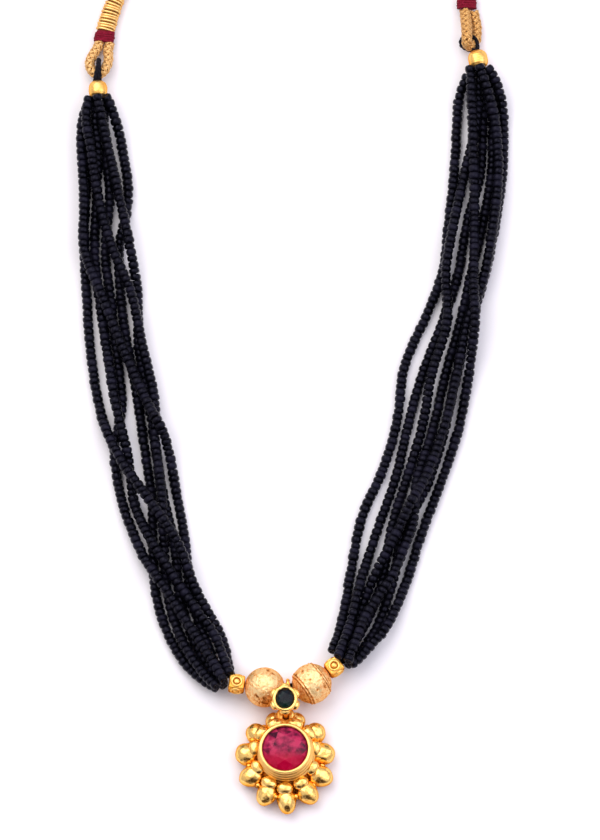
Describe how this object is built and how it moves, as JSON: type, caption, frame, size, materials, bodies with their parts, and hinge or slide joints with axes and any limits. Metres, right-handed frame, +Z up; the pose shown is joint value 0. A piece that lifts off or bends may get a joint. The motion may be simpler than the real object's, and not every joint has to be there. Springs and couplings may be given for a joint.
{
  "type": "mangalsutra necklace",
  "caption": "Necklace of black seed-bead strands with frosted gold balls, a gold flower pendant set with a red stone, and a braided cord that ties behind the neck, laid flat.",
  "frame": {"origin": "centre of the pendant's flat back, on the surface that the necklace lies on", "axes": "+Z up from the surface, +Y from the pendant to the back of the neck, +X to the right"},
  "size_m": [0.0904, 0.2206, 0.0094],
  "materials": {
    "gold": "polished satin high-karat gold",
    "frosted_gold": "frosted gold",
    "gold_wire": "bright gold wire",
    "red_stone": "faceted red glass",
    "green_stone": "faceted dark green glass",
    "black_beads": "satin black glass seed beads",
    "thread": "black cotton thread",
    "braided_cord": "braided gold-coloured thread",
    "red_binding": "crimson thread wound round"
  },
  "bodies": {
    "root": {"pendant_setting": "gold", "flower_setting": "gold", "spacer_left": "gold", "spacer_right": "gold", "top_bead_left": "gold", "top_bead_right": "gold", "ball_left": "frosted_gold", "ball_right": "frosted_gold", "red_stone": "red_stone", "green_stone": "green_stone", "centre_thread": "thread", "thread_loop_left": "thread", "thread_loop_right": "thread", "cord_loop_left": "braided_cord", "cord_loop_right": "braided_cord", "back_cord_left": "braided_cord", "back_cord_right": "braided_cord", "slide_knot": "braided_cord", "red_binding_left": "red_binding", "red_binding_right": "red_binding", "wire_wrap_left": "gold_wire", "wire_wrap_right": "gold_wire", "strand_left_1": "black_beads", "strand_left_2": "black_beads", "strand_left_3": "black_beads", "strand_left_4": "black_beads", "strand_left_5": "black_beads", "strand_left_6": "black_beads", "strand_left_7": "black_beads", "strand_right_1": "black_beads", "strand_right_2": "black_beads", "strand_right_3": "black_beads", "strand_right_4": "black_beads", "strand_right_5": "black_beads", "strand_right_6": "black_beads", "strand_right_7": "black_beads"}
  },
  "joints": []
}
